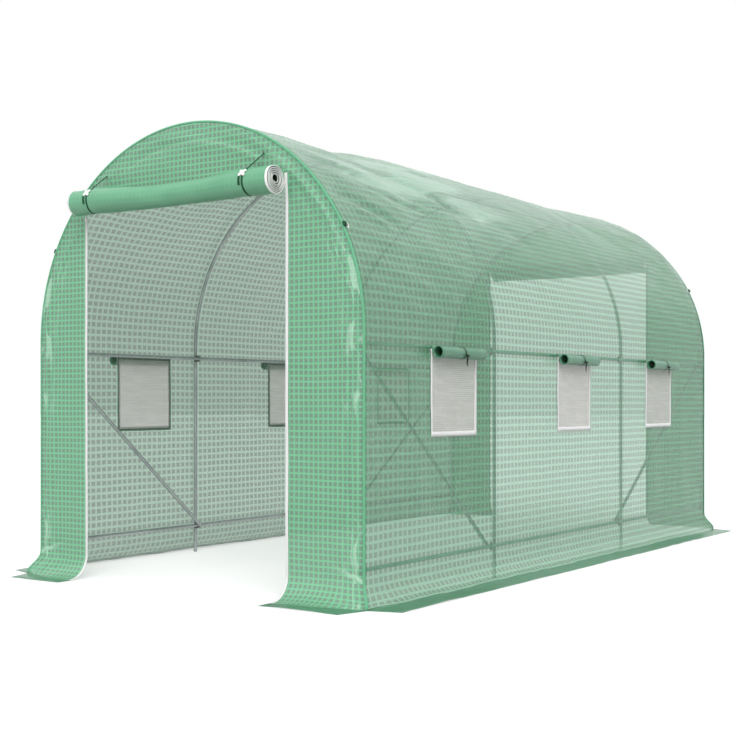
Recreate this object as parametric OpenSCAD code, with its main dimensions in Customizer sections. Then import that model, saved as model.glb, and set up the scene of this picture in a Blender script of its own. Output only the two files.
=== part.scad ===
// Walk-in polytunnel greenhouse: a galvanised tube frame under a cover of reinforced film.
// The cover's side walls turn out at the foot into a ground skirt, both end doors are rolled up
// and strapped, and every side window has its flap rolled up above a mesh pane.
// The origin is on the ground under the middle of the tunnel. -Y is the front door, +Z is up.

/* [Tunnel] */
// Width over the covered side walls
tunnel_w = 2000; // [1600:10:3000]
// Length over the two covered ends
tunnel_l = 4080; // [3400:10:6000]
// Height of the straight walls, where the arch springs
wall_h = 1170; // [950:5:1600]
// Thickness that the film is drawn with
film_t = 4; // [2:0.5:6]

/* [Ground skirt] */
// Radius of the bend between wall and ground
skirt_bend_r = 110; // [60:1:150]
// How far the skirt reaches out from the wall
skirt_reach = 190; // [160:1:400]

/* [Frame] */
// Outside diameter of every frame tube
tube_d = 19; // [16:0.5:32]
// Height of the upper side rails
side_rail_z = 1120; // [900:5:1500]
// Height of the base rails
base_rail_z = 156; // [130:1:400]
// Distance from the front face to the second hoop
second_hoop = 1150; // [900:10:1500]
// Distance from the front face to the third hoop
third_hoop = 2700; // [2000:10:3100]
// Wall of a clamp block past the tubes that it joins
clamp_margin = 8; // [4:1:14]

/* [Doors] */
// Width of each door opening
door_w = 1240; // [800:10:1400]
// Height of each door opening
door_h = 1840; // [1500:10:1880]
// Sideways place of the doors, off the middle of the end wall
door_shift = -40; // [-80:5:80]
// Diameter of the rolled door
door_roll_d = 130; // [80:1:150]
// Length of the rolled door
door_roll_l = 1236; // [800:2:1400]
// Height of the rolled door's middle
door_roll_z = 1840; // [1500:5:1870]
// Width of the zip tape
zip_w = 14; // [8:1:30]
// Thickness of the zip tape
zip_t = 1.5; // [1:0.5:3]
// Height of the zip's upper end
zip_top = 1875; // [1600:5:1900]

/* [Door straps] */
// Width of a strap
strap_w = 14; // [10:1:40]
// Thickness of a strap
strap_t = 2; // [1:0.5:3]
// Height where a strap is sewn to the end wall
strap_top = 1980; // [1950:5:2020]
// Places of the two straps along the roll, from its middle
strap_places = [-495, 475]; // [-560:5:560]
// Sideways slant of a strap between its stitching and the roll
strap_slant = 25; // [0:5:100]
// Buckle width, depth and height
buckle_size = [36, 7, 36]; // [5:1:50]
// Angle of a buckle above the front of the roll
buckle_tilt = 35; // [0:5:80]

/* [Windows] */
// Width of a window opening
window_w = 394; // [300:1:600]
// Height of a window opening
window_h = 380; // [250:5:450]
// Height of the window's lower edge
window_sill = 722; // [450:1:730]
// Places of the window middles, from the front face
window_places = [746, 2043, 3260]; // [400:1:3600]
// Width of the border tape on each side of the window's edge
border_w = 11; // [5:1:20]
// Thickness of the border tape
border_t = 2; // [1:0.5:3]
// Diameter of a rolled window flap
window_roll_d = 56; // [30:1:70]
// Length of a rolled window flap
window_roll_l = 410; // [350:5:650]
// Height of a rolled flap's middle
window_roll_z = 1098; // [1080:1:1150]

/* [Window ties] */
// Width of a tie
tie_w = 10; // [5:1:20]
// Thickness of a tie
tie_t = 1.5; // [1:0.5:3]
// Diameter of the knot
tie_knot_d = 14; // [8:1:20]
// Length of the hanging tails below the knot
tie_tail = 30; // [10:1:60]
// Place of a tie along its rolled flap, from the flap's middle
tie_place = 0; // [-150:5:150]

/* [Guy rings] */
// Inside diameter of a guy ring's bow
guy_ring_d = 24; // [12:1:30]
// Wire diameter of a guy ring
guy_wire_d = 5; // [2:0.5:6]
// Height of the guy rings on the shoulders
guy_ring_z = 1627; // [1200:1:1900]
// Distance from an end wall to the straight side of its guy rings
guy_ring_place = 20; // [10:1:40]

/* [Hidden] */
$fn = 64;

// Running clearance between pieces that touch on the real tunnel
clear = 0.3;

half_w = tunnel_w / 2;
half_l = tunnel_l / 2;
tube_r = tube_d / 2;
groove_r = tube_r + clear;
// Two tubes that cross lie side by side, this far apart
tube_step = tube_d + clear;

// The frame stands just inside the film
leg_x = half_w - film_t - clear - tube_r;
rail_x = leg_x - tube_step;
brace_x = rail_x - tube_step;
hoop_top_z = wall_h + leg_x;
ridge_z = hoop_top_z - tube_step;
end_hoop = film_t + clear + tube_r;
hoop_places = [end_hoop, second_hoop, third_hoop, tunnel_l - end_hoop];
rail_l = tunnel_l - 2 * (film_t + clear);
clamp_half = tube_r + clamp_margin;
// A clamp block on an end hoop stops at the end film
clamp_front = min(clamp_half, end_hoop - film_t - clear);
clamp_y = clamp_half + clamp_front;

// The walls end where the bend of the skirt starts
skirt_top = skirt_bend_r + film_t;

door_left = door_shift - door_w / 2;
door_right = door_shift + door_w / 2;
door_roll_r = door_roll_d / 2;
strap_r = door_roll_r + clear + strap_t;
// A strap joins its loop where the loop has curved half a thickness away from the wall
strap_lap = sqrt(strap_r * strap_r - (strap_r - strap_t / 2) * (strap_r - strap_t / 2));
door_roll_y = -half_l - clear - strap_r;

window_roll_r = window_roll_d / 2;
tie_r = window_roll_r + clear + tie_t;
window_face_x = half_w + clear + border_t;
window_roll_x = window_face_x + clear + tie_r;

// The rings lie on the roof, this far from the arch's axis and this far around it from the top
guy_ring_r = half_w + clear + guy_wire_d / 2;
guy_turn = acos((guy_ring_z - wall_h) / guy_ring_r);

// Turns distances from the front face into places along the tunnel
function along(d) = d - half_l;

// A straight tube from one point to another
module tube_between(a, b) {
    v = b - a;
    length = norm(v);
    tilt = acos(v[2] / length);
    turn = atan2(v[1], v[0]);
    translate(a) rotate([0, tilt, turn]) cylinder(r = tube_r, h = length);
}

module right_and_left() {
    children();
    mirror([1, 0, 0]) children();
}

module front_and_rear() {
    children();
    mirror([0, 1, 0]) children();
}

// Frame

// A hoop is two straight legs and a half circle, bent from one tube size
module hoop(place) {
    color("silver") translate([0, along(place), 0]) {
        right_and_left() translate([leg_x, 0, 0]) cylinder(r = tube_r, h = wall_h);
        translate([0, 0, wall_h]) rotate([90, 0, 0])
            rotate_extrude(angle = 180, $fn = 128) translate([leg_x, 0]) circle(r = tube_r);
    }
}

module hoop_front() { hoop(hoop_places[0]); }
module hoop_second() { hoop(hoop_places[1]); }
module hoop_third() { hoop(hoop_places[2]); }
module hoop_rear() { hoop(hoop_places[3]); }

// A straight tube along the tunnel, from end film to end film
module long_tube(x, z) {
    color("silver") translate([x, -rail_l / 2, z]) rotate([-90, 0, 0])
        cylinder(r = tube_r, h = rail_l);
}

module ridge_pole() { long_tube(0, ridge_z); }
module side_rail_right() { long_tube(rail_x, side_rail_z); }
module side_rail_left() { long_tube(-rail_x, side_rail_z); }
module base_rail_right() { long_tube(rail_x, base_rail_z); }
module base_rail_left() { long_tube(-rail_x, base_rail_z); }

// Each end bay has a brace from the foot of its inner hoop up to the end hoop's side rail
module brace_pair(x) {
    color("silver") {
        tube_between([x, along(hoop_places[1]), base_rail_z], [x, along(hoop_places[0]), side_rail_z]);
        tube_between([x, along(hoop_places[2]), base_rail_z], [x, along(hoop_places[3]), side_rail_z]);
    }
}

module braces_right() { brace_pair(brace_x); }
module braces_left() { brace_pair(-brace_x); }

// A saddle block between a hoop's leg and a rail, grooved for both tubes
module rail_clamp(place, z) {
    translate([0, along(place), z]) difference() {
        translate([rail_x, -clamp_front, -clamp_half]) cube([tube_step, clamp_y, 2 * clamp_half]);
        translate([leg_x, 0, -2 * clamp_half]) cylinder(r = groove_r, h = 4 * clamp_half);
        translate([rail_x, -2 * clamp_half, 0]) rotate([-90, 0, 0])
            cylinder(r = groove_r, h = 4 * clamp_half);
    }
}

// The four clamps of one rail: those of the end hoops stop short of the end film
module rail_clamp_row(z) {
    for (place = [hoop_places[0], hoop_places[1], hoop_places[2]]) rail_clamp(place, z);
    mirror([0, 1, 0]) rail_clamp(hoop_places[0], z);
}

module rail_clamps() {
    color("dimgray") right_and_left() {
        rail_clamp_row(side_rail_z);
        rail_clamp_row(base_rail_z);
    }
}

// A saddle block between the top of a hoop and the ridge pole under it
module ridge_clamp(place) {
    translate([0, along(place), 0]) difference() {
        translate([-clamp_half, -clamp_front, ridge_z]) cube([2 * clamp_half, clamp_y, tube_step]);
        translate([-2 * clamp_half, 0, hoop_top_z]) rotate([0, 90, 0])
            cylinder(r = groove_r, h = 4 * clamp_half);
        translate([0, -2 * clamp_half, ridge_z]) rotate([-90, 0, 0])
            cylinder(r = groove_r, h = 4 * clamp_half);
    }
}

module ridge_clamps() {
    color("dimgray") {
        for (place = [hoop_places[0], hoop_places[1], hoop_places[2]]) ridge_clamp(place);
        mirror([0, 1, 0]) ridge_clamp(hoop_places[0]);
    }
}

// Cover

// The roof is a half cylinder of film between the two end walls
module roof_cover() {
    length = tunnel_l - 2 * film_t;
    color("palegreen") translate([0, length / 2, wall_h]) rotate([90, 0, 0])
        linear_extrude(length) difference() {
            circle(r = half_w, $fn = 128);
            circle(r = half_w - film_t, $fn = 128);
            translate([-tunnel_w, -tunnel_w]) square([2 * tunnel_w, tunnel_w]);
        }
}

// A side wall, with a hole for each window
module wall_cover() {
    length = tunnel_l - 2 * film_t;
    color("mediumseagreen") difference() {
        translate([half_w - film_t, -length / 2, skirt_top]) cube([film_t, length, wall_h - skirt_top]);
        for (place = window_places)
            translate([half_w - 2 * film_t, along(place) - window_w / 2, window_sill])
                cube([3 * film_t, window_w, window_h]);
    }
}

module wall_cover_right() { wall_cover(); }
module wall_cover_left() { mirror([1, 0, 0]) wall_cover(); }

// Outline of an end wall above the skirt
module end_outline() {
    translate([0, wall_h]) circle(r = half_w, $fn = 128);
    translate([-half_w, skirt_top]) square([tunnel_w, wall_h - skirt_top]);
}

// The part of an end wall that lies between x = a and x = b, above z = low
module end_panel(a, b, low) {
    color("mediumaquamarine") translate([0, film_t - half_l, 0]) rotate([90, 0, 0])
        linear_extrude(film_t) intersection() {
            end_outline();
            translate([a, low]) square([b - a, 2 * wall_h + tunnel_w]);
        }
}

module front_panel_left() { end_panel(-half_w, door_left, skirt_top); }
module front_panel_right() { end_panel(door_right, half_w, skirt_top); }
module front_panel_top() { end_panel(door_left, door_right, door_h); }
module rear_panel_left() { mirror([0, 1, 0]) front_panel_left(); }
module rear_panel_right() { mirror([0, 1, 0]) front_panel_right(); }
module rear_panel_top() { mirror([0, 1, 0]) front_panel_top(); }

// A quarter ring that turns from straight down to straight out, with its centre beside the wall's foot
module foot_bend(inner_r, outer_r) {
    intersection() {
        translate([skirt_bend_r, skirt_top]) difference() {
            circle(r = outer_r);
            circle(r = inner_r);
        }
        translate([-2 * film_t, -film_t]) square([skirt_bend_r + 2 * film_t, skirt_top + film_t]);
    }
}

// Cross-section of a skirt, out from the wall's face and up: a bend, then an apron on the ground
module skirt_section() {
    foot_bend(skirt_bend_r, skirt_bend_r + film_t);
    translate([skirt_bend_r, 0]) square([skirt_reach - skirt_bend_r, film_t]);
}

// Runs a cross-section along a side wall's face, from y = a to y = b
module along_side(a, b) {
    translate([half_w, b, 0]) rotate([90, 0, 0]) linear_extrude(b - a) children();
}

// Runs a cross-section along the front wall's face, from x = a to x = b
module along_front(a, b) {
    rotate([0, 0, -90]) translate([half_l, b, 0]) rotate([90, 0, 0]) linear_extrude(b - a) children();
}

module skirt_right() {
    color("seagreen") along_side(film_t - half_l, half_l - film_t) skirt_section();
}

module skirt_left() { mirror([1, 0, 0]) skirt_right(); }

// Two flaps, one on each side of the door
module skirt_front() {
    color("seagreen") {
        along_front(-half_w, door_left) skirt_section();
        along_front(door_right, half_w) skirt_section();
    }
}

module skirt_rear() { mirror([0, 1, 0]) skirt_front(); }

// Zip tapes run up both edges of a door opening, starting on the bend of the skirt
module zip_section() {
    foot_bend(skirt_bend_r - clear - zip_t, skirt_bend_r - clear);
    translate([clear, skirt_top]) square([zip_t, zip_top - skirt_top]);
}

module door_zips() {
    color("white") front_and_rear() {
        along_front(door_left - zip_w, door_left) zip_section();
        along_front(door_right, door_right + zip_w) zip_section();
    }
}

// Rolled doors

module door_roll_front() {
    color("mediumseagreen") translate([door_shift - door_roll_l / 2, door_roll_y, door_roll_z])
        rotate([0, 90, 0]) cylinder(r = door_roll_r, h = door_roll_l);
}

module door_roll_rear() { mirror([0, 1, 0]) door_roll_front(); }

// A strap hangs from its stitching on the end wall and loops around the roll
module door_strap(place) {
    x = door_shift + place;
    half = strap_w / 2;
    translate([0, -half_l - clear, 0]) rotate([90, 0, 0]) linear_extrude(strap_t)
        polygon([
            [x - half, door_roll_z + strap_lap],
            [x + half, door_roll_z + strap_lap],
            [x + strap_slant + half, strap_top],
            [x + strap_slant - half, strap_top]
        ]);
    translate([x - half, door_roll_y, door_roll_z]) rotate([0, 90, 0]) difference() {
        cylinder(r = strap_r, h = strap_w);
        translate([0, 0, -strap_w]) cylinder(r = strap_r - strap_t, h = 3 * strap_w);
    }
}

module door_straps_front() {
    color("darkgreen") for (place = strap_places) door_strap(place);
}

module door_straps_rear() { mirror([0, 1, 0]) door_straps_front(); }

module strap_buckles() {
    color("white") front_and_rear() for (place = strap_places)
        translate([door_shift + place, door_roll_y, door_roll_z]) rotate([-buckle_tilt, 0, 0])
            translate([-buckle_size[0] / 2, -strap_r - clear - buckle_size[1], -buckle_size[2] / 2])
                cube(buckle_size);
}

// Windows

// A mesh pane that fills its opening, edged with tape that laps over the wall's outer face
module window(number) {
    hole_w = window_w - 2 * clear;
    hole_h = window_h - 2 * clear;
    tape_w = window_w + 2 * border_w;
    tape_h = window_h + 2 * border_w;
    middle_z = window_sill + window_h / 2;
    translate([half_w, window_middle(number), middle_z]) {
        color("lightgray") translate([-film_t, -hole_w / 2, -hole_h / 2])
            cube([film_t + clear, hole_w, hole_h]);
        color("white") translate([clear, 0, 0]) difference() {
            translate([0, -tape_w / 2, -tape_h / 2]) cube([border_t, tape_w, tape_h]);
            translate([-border_t, border_w - hole_w / 2, border_w - hole_h / 2])
                cube([3 * border_t, hole_w - 2 * border_w, hole_h - 2 * border_w]);
        }
    }
}

module window_right_1() { window(1); }
module window_right_2() { window(2); }
module window_right_3() { window(3); }
module window_left_1() { mirror([1, 0, 0]) window(1); }
module window_left_2() { mirror([1, 0, 0]) window(2); }
module window_left_3() { mirror([1, 0, 0]) window(3); }

// Middle of a window and of its rolled flap, along the tunnel
function window_middle(number) = along(window_places[number - 1]);

module window_roll(number) {
    color("seagreen") translate([window_roll_x, window_middle(number) - window_roll_l / 2, window_roll_z])
        rotate([-90, 0, 0]) cylinder(r = window_roll_r, h = window_roll_l);
}

module window_roll_right_1() { window_roll(1); }
module window_roll_right_2() { window_roll(2); }
module window_roll_right_3() { window_roll(3); }
module window_roll_left_1() { mirror([1, 0, 0]) window_roll(1); }
module window_roll_left_2() { mirror([1, 0, 0]) window_roll(2); }
module window_roll_left_3() { mirror([1, 0, 0]) window_roll(3); }

// A flat cord around the rolled flap, knotted at the front with its tails hanging
module window_tie(number) {
    knot_r = tie_knot_d / 2;
    translate([window_roll_x, window_middle(number) + tie_place, window_roll_z]) {
        rotate([-90, 0, 0]) translate([0, 0, -tie_w / 2]) difference() {
            cylinder(r = tie_r, h = tie_w);
            translate([0, 0, -tie_w]) cylinder(r = tie_r - tie_t, h = 3 * tie_w);
        }
        translate([tie_r + knot_r - tie_t / 2, 0, 0]) sphere(r = knot_r);
        translate([tie_r + knot_r - tie_t, -tie_w / 2, -knot_r - tie_tail])
            cube([tie_t, tie_w, tie_tail + knot_r]);
    }
}

module window_ties() {
    color("black") right_and_left() for (number = [1, 2, 3]) window_tie(number);
}

// A D-shaped wire ring with its straight side along X and its bow towards +Y
module bow_ring() {
    bow_r = (guy_ring_d + guy_wire_d) / 2;
    rotate_extrude(angle = 180) translate([bow_r, 0]) circle(d = guy_wire_d);
    translate([-bow_r, 0, 0]) rotate([0, 90, 0]) cylinder(d = guy_wire_d, h = 2 * bow_r);
}

// Rings on the roof's shoulders by both end walls, where guy lines are tied
module guy_rings() {
    color("white") front_and_rear() right_and_left()
        translate([0, guy_ring_place - half_l, wall_h]) rotate([0, guy_turn, 0])
            translate([0, 0, guy_ring_r]) bow_ring();
}

hoop_front();
hoop_second();
hoop_third();
hoop_rear();
ridge_pole();
side_rail_right();
side_rail_left();
base_rail_right();
base_rail_left();
braces_right();
braces_left();
rail_clamps();
ridge_clamps();
roof_cover();
wall_cover_right();
wall_cover_left();
front_panel_left();
front_panel_right();
front_panel_top();
rear_panel_left();
rear_panel_right();
rear_panel_top();
skirt_right();
skirt_left();
skirt_front();
skirt_rear();
window_right_1();
window_right_2();
window_right_3();
window_left_1();
window_left_2();
window_left_3();
window_roll_right_1();
window_roll_right_2();
window_roll_right_3();
window_roll_left_1();
window_roll_left_2();
window_roll_left_3();
window_ties();
door_roll_front();
door_roll_rear();
door_straps_front();
door_straps_rear();
strap_buckles();
door_zips();
guy_rings();
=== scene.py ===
import math
import bpy
import numpy as np
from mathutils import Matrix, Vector, noise


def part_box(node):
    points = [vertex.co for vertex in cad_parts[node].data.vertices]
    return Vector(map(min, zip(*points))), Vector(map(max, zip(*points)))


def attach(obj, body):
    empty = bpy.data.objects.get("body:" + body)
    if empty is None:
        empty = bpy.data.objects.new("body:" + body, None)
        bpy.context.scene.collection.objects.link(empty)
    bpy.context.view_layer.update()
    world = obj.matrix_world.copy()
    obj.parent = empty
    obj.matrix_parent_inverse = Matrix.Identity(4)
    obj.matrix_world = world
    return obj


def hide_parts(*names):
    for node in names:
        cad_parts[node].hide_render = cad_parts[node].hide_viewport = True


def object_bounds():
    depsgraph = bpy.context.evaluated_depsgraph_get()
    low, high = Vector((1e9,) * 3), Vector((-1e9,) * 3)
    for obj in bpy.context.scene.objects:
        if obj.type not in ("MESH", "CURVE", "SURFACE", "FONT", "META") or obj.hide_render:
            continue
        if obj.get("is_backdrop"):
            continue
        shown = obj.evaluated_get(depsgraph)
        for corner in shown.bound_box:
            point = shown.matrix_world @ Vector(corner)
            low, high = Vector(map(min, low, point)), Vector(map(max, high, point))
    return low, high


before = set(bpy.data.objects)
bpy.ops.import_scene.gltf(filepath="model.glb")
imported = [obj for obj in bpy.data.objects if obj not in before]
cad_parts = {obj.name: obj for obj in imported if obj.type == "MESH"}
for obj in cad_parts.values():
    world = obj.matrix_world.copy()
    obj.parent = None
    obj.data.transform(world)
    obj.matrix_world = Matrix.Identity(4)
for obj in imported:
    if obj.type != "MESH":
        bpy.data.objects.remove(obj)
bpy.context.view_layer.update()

# ---------------------------------------------------------------------------------------------
# Tube frame: four hoops, a ridge pole, side and base rails and the end-bay braces.
# They are thin-walled steel tube, hot-dip galvanised, so the zinc shows a dull grey spangle.
# The CAD tubes are the real shape, so they keep their meshes and only get the zinc.


class Wire:
    """A node's output, the first one unless a key picks another. Sums with wires add maths nodes."""

    def __init__(self, node, key=0):
        self.node, self.key = node, key

    def __getitem__(self, key):
        return Wire(self.node, key)

    def __add__(self, other):
        return maths("ADD", self, other)

    def __sub__(self, other):
        return maths("SUBTRACT", self, other)

    def __rsub__(self, other):
        return maths("SUBTRACT", other, self)

    def __mul__(self, other):
        return maths("MULTIPLY", self, other)

    def __truediv__(self, other):
        return maths("DIVIDE", self, other)

    __radd__, __rmul__ = __add__, __mul__


materials, trees = [], []


def new_material(name):
    """Starts a material. The nodes that are put next go in its tree."""
    materials.append(bpy.data.materials.new(name))
    materials[-1].use_nodes = True
    trees.append(materials[-1].node_tree)
    trees[-1].nodes.clear()


def feed(socket, value):
    """Links a wire to a socket, or sets a number, a place or a colour on it."""
    if isinstance(value, Wire):
        trees[-1].links.new(value.node.outputs[value.key], socket)
    else:
        socket.default_value = (*value, 1) if socket.type == "RGBA" else value


def put(kind, settings=None, **sockets):
    """Adds a node. i0 is its first socket, i1 its second, and other sockets go by their names."""
    n = trees[-1].nodes.new("ShaderNode" + kind)
    for key, value in (settings or {}).items():
        setattr(n, key, value)
    for key, value in sockets.items():
        numbered = key[0] == "i" and key[1:].isdigit()
        feed(n.inputs[int(key[1:]) if numbered else key.replace("_", " ")], value)
    return Wire(n)


def maths(operation, a, b=0.0, c=0.0):
    return put("Math", {"operation": operation}, i0=a, i1=b, i2=c)


def most(a, b):
    return maths("MAXIMUM", a, b)


def finished(surface):
    """The material made last, with its surface."""
    put("OutputMaterial", Surface=surface)
    return materials[-1]


def between(value, low, high, start=0.0, end=1.0):
    """Value's way from low to high, as a smooth step from start to end."""
    smooth = {"interpolation_type": "SMOOTHSTEP"}
    return put("MapRange", smooth, i0=value, i1=low, i2=high, i3=start, i4=end)


def tint(factor, a, b):
    return put("Mix", {"data_type": "RGBA"}, i0=factor, i6=a, i7=b)[2]


def skin(colour, rough, height=None, strength=0.5, depth=0.0, **sockets):
    """A plain shiny surface, with bumps of the given height where one is given."""
    if height:
        sockets["Normal"] = put("Bump", Strength=strength, Distance=depth, Height=height)
    return put("BsdfPrincipled", Base_Color=colour, Roughness=rough, **sockets)


def scaled(colour, share, more=0.0):
    return [min(1, c * share + more) for c in colour]


def place_texture(kind, scale, settings=None, **sockets):
    """A texture laid out in the object's own metres."""
    return put(kind, settings, Vector=put("TexCoord")["Object"], Scale=scale, **sockets)


def zinc():
    new_material("galvanised_zinc")
    spangle = place_texture("TexVoronoi", 130.0, {"feature": "F1"})["Color"]
    patch = put("SeparateColor", Color=spangle)
    bloom = place_texture("TexNoise", 6.0, Detail=4.0)
    colour = tint(patch, (0.36, 0.385, 0.39), (0.52, 0.54, 0.55))
    colour = tint(between(bloom, 0.45, 0.75), colour, (0.30, 0.32, 0.325))
    rough = between(patch + bloom, 0.4, 1.5, 0.28, 0.5)
    return finished(skin(colour, rough, patch, 0.25, 0.0004, Metallic=0.9))


def finish_node(name, material):
    """Gives a CAD node its material."""
    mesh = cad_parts[name].data
    mesh.materials.clear()
    mesh.materials.append(material)


TUBES = ["hoop_front", "hoop_second", "hoop_third", "hoop_rear", "ridge_pole",
         "side_rail_right", "side_rail_left", "base_rail_right", "base_rail_left",
         "braces_right", "braces_left"]
zinc_coat = zinc()
for tube in TUBES:
    finish_node(tube, zinc_coat)

# ---------------------------------------------------------------------------------------------
# Saddle clamps: small painted steel blocks that hold the rails and ridge pole on the hoops.
# Two hex bolts with washers pull each one up, and one more goes through each end of every brace.

tube_r = (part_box("ridge_pole")[1].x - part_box("ridge_pole")[0].x) / 2
rail_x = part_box("side_rail_right")[1].x - tube_r
ridge_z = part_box("ridge_pole")[1].z - tube_r
brace_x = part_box("braces_right")[1].x - tube_r
side_rail_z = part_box("side_rail_right")[1].z - tube_r
base_rail_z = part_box("base_rail_right")[1].z - tube_r
hoop_ys = [(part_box(name)[0].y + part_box(name)[1].y) / 2 for name in TUBES[:4]]
BOLT_OUT = 0.0135
BOLT_R = 0.0046
BOLT_HEAD = 0.0036
WASHER_R = 0.0062
WASHER = 0.0012
BOLT_BEVEL = 0.0007
WASHER_BEVEL = 0.0003


def dark_paint():
    new_material("dark_grey_paint")
    worn = place_texture("TexNoise", 90.0, Detail=5.0)
    colour = tint(between(worn, 0.55, 0.7), (0.10, 0.11, 0.11), (0.22, 0.23, 0.23))
    return finished(skin(colour, between(worn, 0.3, 0.7, 0.4, 0.6)))


def add_piece(name, mesh, *materials):
    for material in materials:
        mesh.materials.append(material)
    piece = bpy.data.objects.new(name, mesh)
    bpy.context.scene.collection.objects.link(piece)
    return piece


bolt_points, bolt_faces = [], []


def disc(place, out, radius, thick, sides, bevel):
    """Adds a flat prism that stands out from place, its outer rim bevelled."""
    turn = out.to_track_quat("Z", "Y").to_matrix()
    inset = radius - bevel / math.cos(math.pi / sides)
    rings = []
    for reach, up in ((radius, 0), (radius, thick - bevel), (inset, thick)):
        rings.append(list(range(len(bolt_points), len(bolt_points) + sides)))
        for i in range(sides):
            angle = 2 * math.pi * i / sides
            around = Vector((-reach * math.sin(angle), reach * math.cos(angle), up))
            bolt_points.append(place + turn @ around)
    bolt_faces.extend([rings[0][::-1], rings[2]])
    for low, high in zip(rings, rings[1:]):
        bolt_faces.extend((low[i - 1], low[i], high[i], high[i - 1]) for i in range(sides))


def hex_bolt(place, out):
    disc(place, out, WASHER_R, WASHER, 20, WASHER_BEVEL)
    disc(place + out * WASHER, out, BOLT_R, BOLT_HEAD, 6, BOLT_BEVEL)


clamp_paint = dark_paint()
for clamps in ("rail_clamps", "ridge_clamps"):
    finish_node(clamps, clamp_paint)

for hoop_y in hoop_ys:
    bolt_y = hoop_y + (-BOLT_OUT if hoop_y == hoop_ys[3] else BOLT_OUT)
    for up in (-BOLT_OUT, BOLT_OUT):
        for side in (-1, 1):
            for rail_z in (base_rail_z, side_rail_z):
                hex_bolt(Vector((side * rail_x, bolt_y, rail_z + up)), Vector((-side, 0, 0)))
        hex_bolt(Vector((up, bolt_y, ridge_z)), Vector((0, 0, -1)))
for side in (-1, 1):
    for end_hoop, foot_hoop in ((hoop_ys[0], hoop_ys[1]), (hoop_ys[3], hoop_ys[2])):
        high_end, low_end = Vector((0, end_hoop, side_rail_z)), Vector((0, foot_hoop, base_rail_z))
        along = (low_end - high_end).normalized() * 2 * tube_r
        for place in (high_end + along, low_end - along):
            place.x = side * (brace_x - tube_r + WASHER / 2)
            hex_bolt(place, Vector((-side, 0, 0)))
bolt_mesh = bpy.data.meshes.new("frame_bolts")
bolt_mesh.from_pydata(bolt_points, [], bolt_faces)
bolts = add_piece("frame_bolts", bolt_mesh, zinc_coat)
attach(bolts, "root")

# ---------------------------------------------------------------------------------------------
# Cover: one sheet of scrim-reinforced film runs from the right hem, up the wall, over the hoops
# and down to the left hem. Woven tape lines make a grid of clear cells, and the hem is plain film.
# It is pulled taut over the hoops, so it wrinkles at the ends and in long slanting folds.

front_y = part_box("front_panel_top")[0].y
rear_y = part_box("rear_panel_top")[1].y
half_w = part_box("roof_cover")[1].x
wall_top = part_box("roof_cover")[0].z
film_space = half_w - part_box("wall_cover_right")[0].x
sheet_r = half_w - film_space / 2
end_y = rear_y - film_space / 2
skirt_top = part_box("skirt_right")[1].z
skirt_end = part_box("skirt_right")[1].x
bend_x = half_w + skirt_top - film_space
bend_r = bend_x - sheet_r
wall_run = wall_top - skirt_top
arch_run = math.pi / 2 * sheet_r
bend_run = math.pi / 2 * bend_r
hem_run = skirt_end - bend_x
bend_start = arch_run + wall_run
# the sheets' middle goes no lower than this
lowest = film_space / 2 - 0.0008
cover_hem = bend_start + bend_run
HEM_LAP = 0.03
YARN = 0.0011
FILM = 0.0009
COVER_PITCH = (0.0386, 0.0368)
TAPE_SHARE = (0.30, 0.37)
# the tints of what shows through the tapes and the clear cells
THROUGH_TAPE = (0.90, 0.99, 0.94)
THROUGH_CELL = (0.91, 0.98, 0.93)
HEM_GREEN = (0.115, 0.34, 0.195)
# the colour of the painted sheen and painted highlights that whiten the film in places
PAINTED_SHEEN_COLOUR = (0.60, 0.88, 0.70)
# how far the roof stands out from taut at the crown, at places along the tunnel
ROOF_LINE = [(-2.1, 0.0), (-1.9, -0.002), (-1.60, -0.008), (-1.30, -0.019), (-1.02, 0.010), (-0.84, 0.019),
             (-0.60, 0.017), (-0.30, 0.013), (0.0, 0.009), (0.45, 0.011), (0.75, 0.009), (1.05, 0.002),
             (1.55, 0.015), (1.88, 0.023), (2.1, 0.008)]
CORNER_PULL = 0.045
CORNER_RUN = 0.20
# how high the smaller shapes in it are
WALL_DIP = 0.004
LOOSE_FOLDS = 0.008
DRAPE = 0.006
PUCKER = 0.004
FINE_WAVES = 0.0014
SKIRT_WAVES = 0.006
HEM_TUCKS = 0.006
# long folds in the roof: from, to (each along the tunnel and around from the crown), width, height
FOLDS = [
    ((-1.70, 0.79), (-1.15, 0.93), 0.018, -0.013),
    ((-2.02, 0.90), (-1.58, 1.02), 0.018, -0.010),
    ((-1.90, 0.98), (-1.60, 1.08), 0.022, 0.008),
    ((-2.00, 0.36), (-1.10, 0.62), 0.045, 0.009),
    ((-1.25, 0.62), (-0.85, 0.93), 0.024, -0.010),
    ((-1.98, 0.66), (-1.40, 0.80), 0.030, -0.008),
    ((-2.00, 0.60), (-1.20, 0.80), 0.055, 0.010),
    ((-2.00, 0.86), (-1.50, 1.08), 0.035, -0.010),
    ((-1.95, 0.75), (-1.35, 0.99), 0.040, 0.008),
    ((-1.25, 0.35), (-0.70, 0.62), 0.060, -0.007),
    ((-0.85, 0.80), (-0.10, 1.06), 0.040, -0.006),
    ((0.60, 0.55), (1.35, 0.85), 0.050, -0.006),
    ((1.95, 0.80), (1.30, 1.12), 0.035, -0.008),
    ((1.98, 0.55), (1.45, 0.70), 0.040, 0.006),
    ((-1.98, -0.70), (-1.30, -1.02), 0.035, -0.009),
    ((1.98, -0.66), (1.20, -0.98), 0.035, -0.009),
]


def spread(stops, step):
    """Numbers from the first stop to the last that include every stop, at most a step apart."""
    line = [stops[0]]
    for a, b in zip(stops, stops[1:]):
        line += list(np.linspace(a, b, max(1, math.ceil(abs(b - a) / step)) + 1)[1:])
    return np.array(line)


def grid_of(*lines):
    return np.meshgrid(*lines, indexing="ij")


def ease(x, low, high):
    t = np.clip((x - low) / (high - low), 0, 1)
    return t * t * (3 - 2 * t)


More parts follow.
